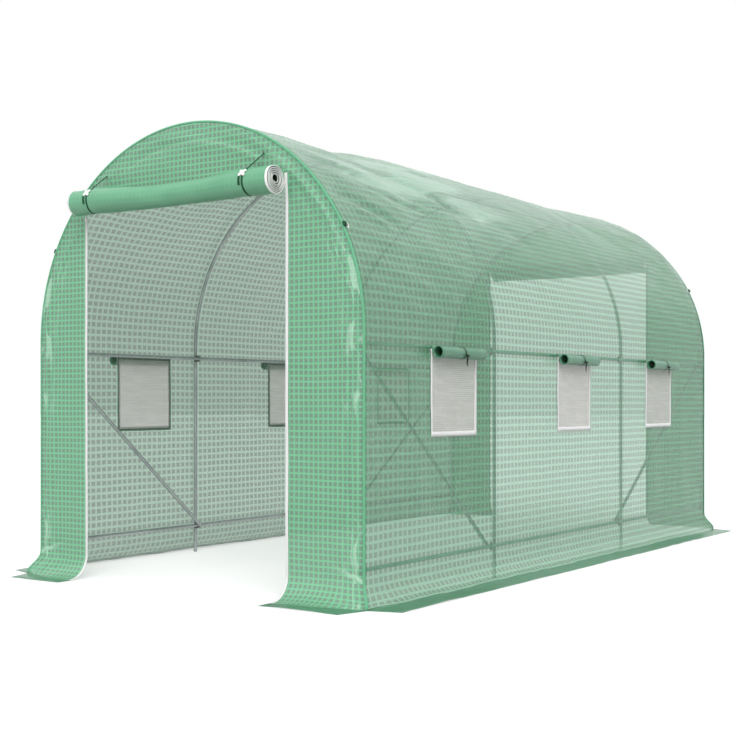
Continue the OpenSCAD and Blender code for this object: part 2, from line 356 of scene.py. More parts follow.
def noise_at(*place):
    """Smooth noise, from -1 to 1, at arrays of places."""
    x, y, z = np.broadcast_arrays(*place)
    flat = [noise.noise(Vector(point)) for point in zip(x.ravel(), y.ravel(), z.ravel())]
    return np.array(flat).reshape(x.shape)


def ripple(a, b, turn, across, along, seed):
    """Noise drawn out along a direction that is turned from the first axis."""
    c, s = math.cos(turn), math.sin(turn)
    return noise_at((a * c + b * s) / along, (b * c - a * s) / across, seed)


def crease(a, b, turn, across, along, seed):
    """Sharp-topped folds, from 0 to 1, from the same noise."""
    return np.clip(1 - 3.2 * np.abs(ripple(a, b, turn, across, along, seed)), 0, 1) ** 1.5


def make_sheet(name, patches, materials, thickness=FILM):
    """Joins grids of points into one thin sheet. A patch is a grid, with its cloth places and its
    kept faces if it isn't a whole grid laid out by its own distances. Its rows run so that its faces
    look outwards. Two materials are the outside's and the inside's."""
    points, cloth, quads, start = [], [], [], 0
    for patch in patches:
        grid, places, keep = patch if isinstance(patch, tuple) else (patch, None, None)
        rows, columns = grid.shape[:2]
        if places is None:
            down = np.linalg.norm(np.diff(grid, axis=0), axis=2).mean(1)
            across = np.linalg.norm(np.diff(grid, axis=1), axis=2).mean(0)
            places = np.stack(grid_of(np.append(0, down.cumsum()), np.append(0, across.cumsum())), -1)
        i = np.arange(rows * columns).reshape(rows, columns) + start
        corners = np.stack([i[:-1, :-1], i[:-1, 1:], i[1:, 1:], i[1:, :-1]], -1)
        points.append(grid.reshape(-1, 3))
        cloth.append(places.reshape(-1, 2))
        quads.append(corners.reshape(-1, 4) if keep is None else corners[keep])
        start += rows * columns
    points, cloth, quads = np.concatenate(points), np.concatenate(cloth), np.concatenate(quads)
    used, quads = np.unique(quads, return_inverse=True)
    quads = quads.reshape(-1, 4)
    mesh = bpy.data.meshes.new(name)
    mesh.from_pydata(points[used].tolist(), [], quads.tolist())
    layer = mesh.uv_layers.new(name="cloth")
    layer.data.foreach_set("uv", cloth[used][quads.ravel()].astype(np.float32).ravel())
    piece = add_piece(name, mesh, *materials)
    weld = piece.modifiers.new("weld", "WELD")
    weld.merge_threshold = 0.0002
    if thickness:
        thick = piece.modifiers.new("thickness", "SOLIDIFY")
        thick.thickness = thickness
        thick.offset = 0
        thick.material_offset = len(materials) - 1
    mesh.shade_smooth()
    return piece


def cloth_noise(place, scale, **sockets):
    return put("TexNoise", {"noise_dimensions": "2D"}, Vector=place, Scale=scale, **sockets)


def moved_by(noise_wire, reach, uv):
    """The cloth place, moved about by a noise's colour, so that woven lines aren't quite straight."""
    reach = (reach, reach, 0)
    return put("VectorMath", {"operation": "MULTIPLY_ADD"}, i0=noise_wire["Color"], i1=reach, i2=uv)


def streaky(uv, scale, detail, turn=0.0, distortion=0.0):
    """Noise drawn out into streaks, by a scale each way."""
    drawn = put("Mapping", Vector=uv, Rotation=(0, 0, turn), Scale=(*scale, 1.0))
    return cloth_noise(drawn, 1.0, Detail=detail, Distortion=distortion)


def tape_line(place, pitch, share, soft):
    """1 on the woven tapes of one direction, 0 in the cells between them."""
    away = maths("PINGPONG", place / pitch, 0.5)
    return between(away, share / 2 - soft, share / 2 + soft, 1.0, 0.0)


def fine_yarns(way):
    """The tapes are bundles of fine yarns."""
    yarns = maths("PINGPONG", way[0], YARN) + maths("PINGPONG", way[1], YARN)
    return between(yarns, 0.6 * YARN, 1.6 * YARN)


def scrim_film(name, tape, cell, pitch, share, hides, edge, painted_sheen_at):
    """Reinforced film. tape and cell are colours, hides says how much each hides what is behind,
    and edge is how far from the crown the plain hem starts. The last argument is a function of the
    cloth place that gives where painted sheen and painted highlights whiten the film."""
    new_material(name)
    uv = put("UVMap", {"uv_map": "cloth"})
    drift = cloth_noise(uv, 5.0, Detail=1.0)
    way = put("SeparateXYZ", Vector=moved_by(drift, 0.005, uv))
    columns = tape_line(way[0], pitch[0], share[0], 0.04)
    rows = tape_line(way[1], pitch[1], share[1], 0.04)
    grid = most(rows, columns)
    crossing = rows * columns
    yarn = fine_yarns(way)
    cloudy = cloth_noise(uv, 2.2, Detail=3.0, Roughness=0.6)
    colour = tint(grid, cell, tape)
    colour = tint(crossing * 0.3, colour, scaled(tape, 1.18))
    colour = tint(between(cloudy, 0.3, 0.75, 0.0, 0.14), colour, scaled(tape, 0.72))
    opaque = between(grid, 0.0, 1.0, hides[1], hides[0])
    # painted sheen and painted highlights: where the given function says, the film is whitened and made
    # more opaque
    painted_sheen = painted_sheen_at(uv)
    colour = tint(painted_sheen, colour, PAINTED_SHEEN_COLOUR)
    opaque = most(opaque, painted_sheen * 0.9)
    behind = tint(grid, THROUGH_CELL, THROUGH_TAPE)
    # past the scrim the hem is plain film, folded double, and puckers where the scrim ends;
    # a dark line where it starts and dark stripes along it are painted shade of the pucker and its pleats
    away = maths("ABSOLUTE", put("SeparateXYZ", Vector=uv)[1]) + drift * 0.012
    plain = between(away, edge, edge + 0.005)
    line = between(away, edge + 0.004, edge + 0.013, 0.85, 0.0)
    pleat_shade = between(maths("PINGPONG", away, 0.011), 0.0, 0.0035, 0.4, 0.0)
    line = plain * most(line, pleat_shade)
    colour = tint(plain, colour, HEM_GREEN)
    # painted shade: the pucker's line and pleats darkened
    colour = tint(line, colour, scaled(HEM_GREEN, 0.45))
    opaque = most(opaque, plain * 0.93)
    crumple = cloth_noise(uv, 14.0, Detail=5.0, Roughness=0.55, Distortion=0.6)
    # and in places the film has been crushed into crisp facets
    facet = put("TexVoronoi", {"voronoi_dimensions": "2D", "feature": "DISTANCE_TO_EDGE"},
                Vector=moved_by(drift, 0.35, uv), Scale=7.0)
    crushed = between(facet, 0.0, 0.10) * between(cloudy, 0.45, 0.62)
    height = grid * 0.10 + yarn * 0.03 + painted_sheen * 0.5 + crushed * 0.35 + crumple
    bump = put("Bump", Strength=0.5, Distance=0.005, Height=height)
    rough = between(cloudy, 0.2, 0.8, 0.30, 0.44)
    face = put("BsdfPrincipled", Base_Color=colour, Roughness=rough, IOR=1.3, Normal=bump)
    glow = put("BsdfTranslucent", Color=colour, Normal=bump)
    body = put("MixShader", i0=0.3, i1=face, i2=glow)
    clear = put("BsdfTransparent", Color=behind)
    sheet = put("MixShader", i0=opaque, i1=clear, i2=body)
    # the laminate's smooth face shines over tapes and cells alike
    shine = put("BsdfAnisotropic", Color=(1, 1, 1), Roughness=0.24, Normal=bump)
    slant = put("LayerWeight", Blend=0.5, Normal=bump)["Facing"]
    glare = maths("POWER", slant, 3.0) * 0.27 + 0.035
    return finished(put("MixShader", i0=glare, i1=sheet, i2=shine))


def section(q):
    """The cover's cross-section at distance q from the crown: x, z and the outward normal."""
    side, d = np.sign(q), np.abs(q)
    turn = np.minimum(d, arch_run) / sheet_r
    x, z = sheet_r * np.sin(turn), wall_top + sheet_r * np.cos(turn)
    nx, nz = np.sin(turn), np.cos(turn)
    z = z - np.clip(d - arch_run, 0, wall_run)
    bend = np.clip((d - bend_start) / bend_r, 0, math.pi / 2)
    x, z = x + bend_r * (1 - np.cos(bend)), z - bend_r * np.sin(bend)
    nx, nz = np.where(bend > 0, np.cos(bend), nx), np.where(bend > 0, np.sin(bend), nz)
    x = x + np.clip(d - cover_hem, 0, None)
    return side * x, z, side * nx, nz


def bay(y):
    """0 at each hoop and 1 half way between two hoops, and how far the roof stands out there."""
    stops = [-end_y, *hoop_ys[1:3], end_y]
    free = sum(np.sin(np.pi * np.clip((y - a) / (b - a), 0, 1)) for a, b in zip(stops, stops[1:]))
    rise = sum(a + (b - a) * ease(y, y0, y1) - (0 if y0 == ROOF_LINE[0][0] else a)
               for (y0, a), (y1, b) in zip(ROOF_LINE, ROOF_LINE[1:]))
    return free, rise


def long_folds(y, q):
    out = 0 * y
    for (y0, q0), (y1, q1), width, height in FOLDS:
        length = math.hypot(y1 - y0, q1 - q0)
        uy, uq = (y1 - y0) / length, (q1 - q0) / length
        along = ((y - y0) * uy + (q - q0) * uq) / length
        # each fold bows a little and fades towards both ends
        across = (q - q0) * uy - (y - y0) * uq + 0.05 * length * np.sin(3 * along)
        fade = ease(along, 0, 0.25) * (1 - ease(along, 0.7, 1.0))
        out = out + height * fade * np.exp(-(across / width) ** 2)
    return out


def cover_height(y, q):
    """How far the film stands out from its taut shape."""
    d, side = np.abs(q), np.sign(q)
    arch = 1 - ease(d, arch_run - 0.35, arch_run + 0.2)
    wall = ease(d, arch_run - 0.2, arch_run + 0.25) * (1 - ease(d, bend_start - 0.15, bend_start))
    skirt = ease(d, bend_start - 0.05, cover_hem)
    free, rise = bay(y)
    crown = 1 - ease(d, 0.55, 1.3)
    patch = 0.5 + 0.5 * ripple(y, q, 0.0, 1.1, 1.3, 11.5)
    folds = crease(y, q, 0.24, 0.16, 1.5, 2.5) + 0.7 * crease(y, q, -0.3, 0.2, 1.2, 8.5)
    drape = ripple(y, q, 1.5, 0.16, 1.4, 5.5)
    small = ripple(y, q, 0.5, 0.09, 0.2, 17.5)
    from_end = end_y - np.abs(y)
    pucker = ripple(q, y, 0.12, 0.22, 0.07, 23.5) * (1 - ease(from_end, 0.02, 0.28))
    out = rise * crown - WALL_DIP * free * wall + long_folds(y, q) * arch
    out = out + LOOSE_FOLDS * free ** 0.7 * folds * patch * (arch + 0.25 * wall)
    out = out + DRAPE * free ** 0.7 * drape * (wall + 0.3 * arch)
    out = out + PUCKER * pucker * (1 - skirt) + FINE_WAVES * small * (0.3 + 0.7 * free)
    # the skirt lies in low waves, and puckers where the bend meets the hem
    wave = ripple(y, side, 0.0, 1.0, 0.32, 31.5) + 0.5 * ripple(y, side, 0.0, 1.0, 0.11, 37.5)
    hem_line = np.exp(-((d - cover_hem + HEM_LAP + 0.004) / 0.010) ** 2)
    tucks = 0.4 + ripple(y, side, 0.0, 1.0, 0.09, 43.5)
    out = out + SKIRT_WAVES * skirt * wave + HEM_TUCKS * hem_line * tucks
    return out * ease(from_end, 0.008, 0.045)


def corner_pull(d):
    """How far a corner of the skirt is pulled out, both ways, at distance d around from the crown."""
    bend = np.clip((d - bend_start) / bend_r, 0, math.pi / 2)
    down = ease(d, bend_start, cover_hem)
    out = np.clip((d - cover_hem) / hem_run, 0, 1)
    return bend_r * (1 - np.cos(bend)) * (1 - down) + CORNER_PULL * down * (1 - out), out


def cover_surface(y, q, lift=0.0):
    """Points of the cover, at distance y along the tunnel and q around it from the crown."""
    x, z, nx, nz = section(q)
    h = cover_height(y, q) + lift
    x, z = x + h * nx, np.maximum(z + h * nz, lowest + lift)
    # the skirt's corners are pulled out towards the end flaps and cut back at the tip
    d, side = np.abs(q), np.sign(q)
    pull, out = corner_pull(d)
    edge_x = np.where(d > bend_start, sheet_r + pull + out * (skirt_end - sheet_r), np.abs(x))
    near = 1 - ease(end_y - np.abs(y), 0, CORNER_RUN)
    x = x + near * side * (edge_x - np.abs(x))
    return np.stack([x, y + near * np.sign(y) * pull, z], -1)


window_boxes = {s: [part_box(f"window_{s}_{i}") for i in (1, 2, 3)] for s in ("right", "left")}
SIDES = {"right": 1, "left": -1}
GRID_STEP = (0.027, 0.0205)
# the window tapes lap over the cut edges of the film
TAPE_LAP = 0.011
hole_ys = sorted(v for low, high in window_boxes["right"] for v in (low.y + TAPE_LAP, high.y - TAPE_LAP))
hole_z = (window_boxes["right"][0][0].z + TAPE_LAP, window_boxes["right"][0][1].z - TAPE_LAP)
cover_ys = spread([-end_y, *sorted(hole_ys + hoop_ys[1:3]), end_y], GRID_STEP[0])
side_q = [0.0, arch_run, arch_run + wall_top - hole_z[1], arch_run + wall_top - hole_z[0],
          bend_start, cover_hem, cover_hem + hem_run]
half_qs = spread(side_q, GRID_STEP[1])
cover_qs = np.concatenate([-half_qs[:0:-1], half_qs])


def outside_windows():
    """Faces of the cover that stay: those outside the window openings."""
    my, mq = (cover_ys[1:] + cover_ys[:-1]) / 2, (cover_qs[1:] + cover_qs[:-1]) / 2
    z = wall_top - (np.abs(mq) - arch_run)
    inside_z = (z > hole_z[0]) & (z < hole_z[1])
    inside_y = np.zeros(len(my), bool)
    for a, b in zip(hole_ys[::2], hole_ys[1::2]):
        inside_y |= (my > a) & (my < b)
    return ~(inside_y[:, None] & inside_z[None, :])


def roof_painted_sheen(uv):
    """Painted sheen: the roof is whitened in a long patch to the right of the ridge near the front, as the
    film's shine there.
    """
    way = put("SeparateXYZ", Vector=uv)
    along = way[0] * 1.05 + 1.22
    around = way[1] * 2.6 - 1.55
    far = maths("SQRT", along * along + around * around)
    streaks = streaky(uv, (1.6, 7.0), 4.0, -0.25, 0.5)
    return between(far * -0.40 + streaks, 0.11, 0.45, 0.0, 0.70)


def no_painted_sheen(uv):
    return 0.0


def seam_painted_highlights(uv):
    """Painted highlights: the end walls are whitened in short streaks along the seam, as the shine of the
    folds there.
    """
    way = put("SeparateXYZ", Vector=uv)
    up = most(arch_run - way[1], 0.0)
    radius = maths("SQRT", way[0] * way[0] + up * up)
    place = put("CombineXYZ", X=radius * 32.0, Y=way[1] * 6.5)
    streaks = cloth_noise(place, 1.0, Detail=3.0, Distortion=0.7)
    near = between(radius, sheet_r - 0.15, sheet_r - 0.03)
    place = put("CombineXYZ", Y=way[1] * 1.7)
    some = between(cloth_noise(place, 1.0), 0.40, 0.56)
    # a painted highlight runs down to the foot of each seam, where the film is tucked
    side = sheet_r - maths("ABSOLUTE", way[0])
    foot = side * 0.3 + streaks * 0.03 + way[1] - (arch_run + wall_top - 0.10)
    tuck_glint = between(maths("ABSOLUTE", foot), 0.004, 0.016, 0.8, 0.0) * between(side, 0.02, 0.20, 1.0, 0.0)
    crease_glints = near * some * between(streaks, 0.50, 0.64, 0.0, 0.72)
    return most(crease_glints, tuck_glint)


cover_places = np.stack(grid_of(cover_ys, cover_qs), -1)
plain_from = cover_hem - HEM_LAP
cover_outside = scrim_film("cover_film", (0.092, 0.55, 0.255), (0.107, 0.237, 0.137), COVER_PITCH,
                           TAPE_SHARE, (0.38, 0.50), plain_from, roof_painted_sheen)
# the inside face is painted dark grey, as painted shade inside the tunnel
cover_inside_painted_shade = scrim_film("cover_film_inside_painted_shade", (0.085, 0.105, 0.085), (0.058, 0.064, 0.058), COVER_PITCH,
                          TAPE_SHARE, (0.33, 0.46), plain_from, no_painted_sheen)
cover = make_sheet("cover_sheet", [(cover_surface(*np.moveaxis(cover_places, -1, 0)), cover_places,
                                    outside_windows())], (cover_outside, cover_inside_painted_shade))
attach(cover, "root")
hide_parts("roof_cover", "wall_cover_right", "wall_cover_left", "skirt_right", "skirt_left")
2 * side_q[-1]

# ---------------------------------------------------------------------------------------------
# End walls: flat sheets of a finer and denser scrim film. The door opening is cut out, and below
# the wall each side turns out into a flap of skirt. A green woven tape is folded over the edge
# where wall and cover meet, and sewn through, round the arch and down both corners.

door_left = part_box("front_panel_left")[1].x
door_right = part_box("front_panel_right")[0].x
door_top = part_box("front_panel_top")[0].z
END_PITCH = (0.0262, 0.0266)
END_SHARE = (0.33, 0.33)
END_STEP = 0.022
# how high the shapes in an end wall and its flaps are
END_WAVES = 0.0035
DOOR_FOLDS = 0.003
SEAM_FOLDS = 0.010
END_FINE = 0.0008
FLAP_WAVES = 0.005
END_SEEDS = {"front": 0.0, "rear": 50.0}
TOWARDS = {"front": -1, "rear": 1}
waist_v = hem_run + bend_run


def arch_z(x):
    return wall_top + np.sqrt(np.clip(sheet_r ** 2 - np.minimum(np.abs(x), sheet_r) ** 2, 0, None))


def end_height(x, z, seed):
    """How far an end wall's film stands out from its flat shape."""
    above_wall = np.maximum(z - wall_top, 0.0)
    to_seam = np.clip(sheet_r - np.hypot(x, above_wall), 0, None)
    held = ease(to_seam, 0.012, 0.045)
    broad = ripple(x, z, 0.1, 0.30, 0.7, 3.5 + seed)
    above = ease(z, door_top - 0.1, door_top + 0.1)
    over_door = crease(x, z, 0.06, 0.10, 0.9, 6.5 + seed) * above
    # pulled tight, the seam throws folds that run along it
    around = np.arctan2(x, above_wall + 0.001) * sheet_r - np.minimum(z - wall_top, 0) * np.sign(x)
    by_seam = crease(around, to_seam, 0.10, 0.05, 0.5, 9.5 + seed)
    strong = ease(to_seam, 0.012, 0.045) * (1 - ease(to_seam, 0.07, 0.2))
    small = ripple(x, z, 0.9, 0.06, 0.15, 13.5 + seed)
    out = END_WAVES * broad + DOOR_FOLDS * over_door + SEAM_FOLDS * by_seam * strong + END_FINE * small
    return np.maximum(out, -0.0012) * held


def end_profile(v):
    """Out from the wall and up, at distance v up from the hem's outer edge, and the outward normal."""
    bend = np.clip((v - hem_run) / bend_r, 0, math.pi / 2)
    out = np.where(v < hem_run, bend_x - sheet_r + hem_run - v, bend_r * (1 - np.sin(bend)))
    up = film_space / 2 + bend_r * (1 - np.cos(bend)) + np.clip(v - waist_v, 0, None)
    return out, up, np.sin(bend), np.cos(bend)


def end_surface(end, x, v, lift=0.0):
    """Points of an end wall, at x across and at distance v up from the hem's outer edge."""
    seed = END_SEEDS[end]
    out, z, n_out, n_up = end_profile(v)
    skirt = 1 - ease(v, hem_run + 0.3 * bend_run, waist_v + 0.05)
    waves = FLAP_WAVES * skirt * ripple(x, v, 0.0, 1.0, 0.14, 41.5 + seed)
    h = end_height(x, z, seed) * (1 - skirt) + waves + lift
    out, z = out + h * n_out, np.maximum(z + h * n_up, lowest + lift)
    pull, far = corner_pull(bend_start + waist_v - v)
    near = 1 - ease(sheet_r - np.abs(x), 0, CORNER_RUN)
    edge_out = np.where(v < waist_v, pull + far * (skirt_end - sheet_r), out)
    out = out + near * (edge_out - out)
    return np.stack([x + near * np.sign(x) * pull, TOWARDS[end] * (end_y + out), z], -1)


def end_patch(end, x0, x1, side):
    """Wall and skirt flap beside the door (side 1 or -1), or the panel above the door (side 0)."""
    xs = spread([x0, x1], END_STEP)
    if side:
        # narrower columns towards the seam, where the arch falls away steeply
        t = (xs - x0) / (x1 - x0)
        t = np.sin(t * math.pi / 2) if side > 0 else 1 - np.cos(t * math.pi / 2)
        xs = x0 + t * (x1 - x0)
    share = (door_top - skirt_top) / (arch_z(door_right if side > 0 else door_left) - skirt_top)
    low = spread([0, hem_run, waist_v], END_STEP)
    mid, high = np.linspace(0, 1, 72), np.linspace(0, 1, 16)
    columns = []
    for x in xs:
        top = arch_z(x)
        waist = skirt_top + (top - skirt_top) * share if side else door_top
        upper = waist + (top - waist) * high - skirt_top + waist_v
        wall = (waist - skirt_top) * mid + waist_v
        columns.append(np.concatenate([low, wall[1:], upper[1:]]) if side else upper)
    v = np.array(columns)
    x = np.repeat(xs[:, None], v.shape[1], 1)
    if end == "front":
        x, v = x[::-1], v[::-1]
    return end_surface(end, x, v), np.stack([x, cover_hem + hem_run - v], -1), None


end_film = scrim_film("end_film", (0.225, 0.65, 0.375), (0.22, 0.35, 0.265), END_PITCH, END_SHARE,
                      (0.72, 0.68), cover_hem, seam_painted_highlights)


def woven_tape(name, colour, stitches, rib=0.0009, lets=0.0):
    """Woven tape, ribbed across. Stitches are places across it where a row of thread runs along,
    and lets is the share of light that it lets through."""
    new_material(name)
    way = put("SeparateXYZ", Vector=put("UVMap", {"uv_map": "cloth"}))
    ribs = between(maths("PINGPONG", way[0], rib), 0.1 * rib, 0.8 * rib)
    yarns = between(maths("PINGPONG", way[1], 0.7 * rib), 0.05 * rib, 0.55 * rib)
    weave = ribs * yarns
    dash = maths("LESS_THAN", maths("PINGPONG", way[0], 0.0022), 0.0016)
    row = 0.0
    for place in stitches:
        row = row + maths("COMPARE", way[1], place, 0.00045)
    thread = dash * row
    cloudy = place_texture("TexNoise", 9.0, Detail=4.0)
    shade = tint(weave, scaled(colour, 0.86), colour)
    shade = tint(between(cloudy, 0.35, 0.75, 0.0, 0.22), shade, scaled(colour, 0.8))
    shade = tint(thread * 0.55, shade, scaled(colour, 1.5, 0.03))
    height = thread * 1.6 + weave
    cloth = skin(shade, between(cloudy, 0.3, 0.7, 0.52, 0.68), height, 0.6, 0.0005, IOR=1.3)
    glow = put("BsdfTranslucent", Color=shade)
    return finished(put("MixShader", i0=lets, i1=cloth, i2=glow))


def seam_place(q, w):
    """Place on an end wall at distance w in from the seam, beside distance q around the cover."""
    d = np.abs(q)
    turn = np.minimum(d, arch_run) / sheet_r
    z = wall_top + (sheet_r - w) * np.cos(turn) - np.clip(d - arch_run, 0, wall_run)
    v = z - skirt_top + waist_v - np.clip(d - bend_start, 0, None)
    return np.sign(q) * (sheet_r - w) * np.sin(turn), v


BAND_W = 0.007
BAND_LIFT = 0.0014
band_tape = woven_tape("seam_band_tape", (0.155, 0.49, 0.275), (0.004, 2 * BAND_W - 0.004))
band_q, band_w = grid_of(cover_qs[np.abs(cover_qs) < cover_hem + 0.001], np.linspace(BAND_W, 0, 4))
for end, sign in TOWARDS.items():
    band_grid = np.concatenate([cover_surface(sign * (end_y - band_w), band_q, BAND_LIFT),
                                end_surface(end, *seam_place(band_q, band_w), BAND_LIFT)[:, ::-1]], 1)
    band = make_sheet(f"seam_band_{end}", [band_grid[::-sign]], (band_tape,), 0.0012)
    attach(band, "root")

    patches = [end_patch(end, -sheet_r, door_left, -1), end_patch(end, door_left, door_right, 0),
               end_patch(end, door_right, sheet_r, 1)]
    wall = make_sheet(f"end_sheet_{end}", patches, (end_film,))
    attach(wall, "root")
    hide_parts(f"{end}_panel_left", f"{end}_panel_right", f"{end}_panel_top", f"skirt_{end}")
    arch_z(0.0) + hem_run + bend_run - skirt_top
    (math.pi / 2 * sheet_r ** 2 + 2 * sheet_r * (wall_run + bend_run + hem_run)
             - (door_right - door_left) * (door_top - skirt_top + bend_run + hem_run))

# ---------------------------------------------------------------------------------------------
# Door zips: white zip tape sewn along both edges of each opening, from the skirt's bend to above
# the door. The half of the zip that stays on the wall carries a row of small moulded teeth.

zip_low, zip_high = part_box("door_zips")
zip_w = (zip_high.x - zip_low.x - door_right + door_left) / 2
zip_v = (hem_run, zip_high.z - skirt_top + waist_v)
ZIP_LIFT = 0.0013
TOOTH_PITCH = 0.0034
TOOTH = (0.0034, 0.0019, 0.0021)


def moulded_white(name, colour, rough):
    new_material(name)
    cloudy = place_texture("TexNoise", 60.0, Detail=3.0)
    shade = tint(between(cloudy, 0.3, 0.7), colour, scaled(colour, 0.9))
    rough = between(cloudy, 0.3, 0.7, rough, rough + 0.12)
    return finished(skin(shade, rough, cloudy, 0.15, 0.0004, IOR=1.48))


white_cloth = woven_tape("white_tape", (0.93, 0.935, 0.93), (0.0035, 0.0105), 0.0007, 0.05)
white_plastic = moulded_white("white_plastic", (0.86, 0.87, 0.86), 0.32)


def blocks(name, corners, material):
    """Joins boxes into one mesh. Corners are n boxes of 2 x 2 x 2 points."""
    around = np.array([(0, 1, 3, 2), (4, 6, 7, 5), (0, 4, 5, 1), (2, 3, 7, 6), (0, 2, 6, 4), (1, 5, 7, 3)])
    quads = around[None] + 8 * np.arange(len(corners))[:, None, None]
    mesh = bpy.data.meshes.new(name)
    mesh.from_pydata(corners.reshape(-1, 3).tolist(), [], quads.reshape(-1, 4).tolist())
    return add_piece(name, mesh, material)


for end in TOWARDS:
    tapes, teeth = [], []
    for edge, away in ((door_left, -1), (door_right, 1)):
        v, w = grid_of(spread([zip_v[0], waist_v, zip_v[1]], 0.012), np.linspace(0, zip_w, 4))
        tapes.append(end_surface(end, edge + away * w, v, ZIP_LIFT))
        v, x, lift, side = grid_of(np.arange(*zip_v, TOOTH_PITCH), (-0.5, 0.5), (0.0, 1.0), (0.0, 1.0))
        # each tooth is broader at its root than at its tip
        taper = 1 - 0.35 * (x < 0)
        grid = end_surface(end, edge + away * x * TOOTH[0], v + (side - 0.5) * TOOTH[1] * taper)
        grid[..., 1] += TOWARDS[end] * (ZIP_LIFT + (lift - 0.3) * TOOTH[2] * taper)
        teeth.append(grid.reshape(-1, 2, 2, 2, 3))
    zip_tape = make_sheet(f"zip_tape_{end}", tapes, (white_cloth,), 0.0009)
    zip_teeth = blocks(f"zip_teeth_{end}", np.concatenate(teeth), white_plastic)
    for piece in (zip_tape, zip_teeth):
        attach(piece, "root")
        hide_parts("door_zips")

# ---------------------------------------------------------------------------------------------
# Rolled doors: each door panel hangs from the top of its opening and is rolled up on the outside,
# between five and six turns. Its side edges are bound in white tape, which shows as rings at the
# roll's ends.

roll_low, roll_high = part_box("door_roll_front")
roll_r = (roll_high.z - roll_low.z) / 2
roll_half = (roll_high.x - roll_low.x) / 2
roll_x = (roll_high.x + roll_low.x) / 2
roll_z = (roll_high.z + roll_low.z) / 2
roll_out = front_y - (roll_high.y + roll_low.y) / 2
STRAP_PLACES = (-0.495, 0.475)
DOOR_TURNS = 5.4
DOOR_CORE = 0.015
DOOR_FILM = 0.0016
EDGE_THICK = 0.0038
ROLL_SAG = 0.011
ROLL_SLIM = 0.12
ROLL_WAVES = 0.045
STRAP_PINCH = 0.05
DOOR_TAIL = 0.028
EDGE_BANDS = (0.006, 0.013)
EDGE_SHIFTS = ((0, 0.006), (-1, 0.003))
BOUND_W = 0.007
# how much of the binding shows on the inner turns of a door roll: painted thin, so that the painted shade
# there shows
THIN_BAND = 0.12
BAND_WHITE = (0.88, 0.89, 0.88)
# painted shade: the dark colour of the turns inside a door roll
PAINTED_ROLL_SHADE = (0.01, 0.03, 0.015)


def rolled_film(name, colour, pitch, bound=None):
    """Film that is rolled up in many layers, so that it is opaque and its grid is faint.
    A door's film is bound in white tape, whole as far along the sheet as the number bound; past that the
    film is painted dark and its binding painted thin, as painted shade inside the roll."""
    new_material(name)
    uv = put("UVMap", {"uv_map": "cloth"})
    way = put("SeparateXYZ", Vector=uv)
    grid = most(*[tape_line(way[i], pitch, 0.36, 0.08) for i in (0, 1)])
    streaks = streaky(uv, (3.0, 34.0), 3.0)
    cloudy = cloth_noise(uv, 9.0, Detail=4.0)
    shade = tint(grid * 0.55, scaled(colour, 0.82, 0.01), colour)
    shade = tint(between(streaks, 0.4, 0.75, 0.0, 0.4), shade, scaled(colour, 0.8, 0.03))
    shade = tint(between(cloudy, 0.35, 0.7, 0.0, 0.25), shade, scaled(colour, 0.75))
    height = grid * 0.12 + fine_yarns(way) * 0.04 + streaks
    if bound is not None:
        # the binding shows whole on the outer turn; the turns inside it are painted dark, with the binding
        # painted as a thin line, as the shade inside the roll
        reach = between(way[1], bound, bound + 0.01, 1.0, THIN_BAND)
        shade = tint(between(way[1], bound, bound + 0.01, 0.0, 0.92), shade, PAINTED_ROLL_SHADE)
        white = most(maths("LESS_THAN", way[0], reach * EDGE_BANDS[0]),
                     maths("GREATER_THAN", way[0], 2 * roll_half - reach * EDGE_BANDS[1]))
        shade = tint(white, shade, BAND_WHITE)
    return finished(skin(shade, between(cloudy, 0.3, 0.7, 0.36, 0.5), height, 0.4, 0.004, IOR=1.45,
                         Coat_Weight=0.35, Coat_Roughness=0.25))


def hung(sewn, roll):
    """A rolled sheet's grid, led down to the back of its roll from where it is sewn."""
    tail = sewn[:, None] + (roll[:, :1] - sewn[:, None]) * np.linspace(0, 1, 4)[None, :-1, None]
    return np.concatenate([tail, roll], 1)


def door_radius(turn):
    """Distance of the rolled sheet from the roll's axis, after turning on from the back."""
    left = np.clip(1 - turn / (2 * math.pi * DOOR_TURNS), 0, 1)
    return DOOR_CORE + (roll_r - DOOR_FILM / 2 - DOOR_CORE) * left ** 0.92


def door_roll_points(end, x, turn, lift=0.0):
    """Points of the rolled door. It turns from the back of the roll on down, under and up the front."""
    seed = END_SEEDS[end]
    across = (x - roll_x) / roll_half
    # it sags and is rolled tighter between the straps, and they pinch it
    free = 1 - ease(np.abs(across), 0.15, 0.8)
    pinch = sum(np.exp(-((x - roll_x - place) / 0.016) ** 2) for place in STRAP_PLACES)
    cx, cy = np.cos(turn), np.sin(turn)
    wave = noise_at(x * 7.0 + seed, cx * 0.9, cy * 0.9) + 0.6 * noise_at(x * 17.0, cx * 1.6, cy + seed)
    size = 1 - ROLL_SLIM * free - STRAP_PINCH * pinch + ROLL_WAVES * wave
    r = door_radius(turn) * size + lift
    out = roll_out - ROLL_SLIM * roll_r * 0.6 * free - r * cx
    return np.stack([x, TOWARDS[end] * (-front_y + out), roll_z - ROLL_SAG * free - r * cy], -1)


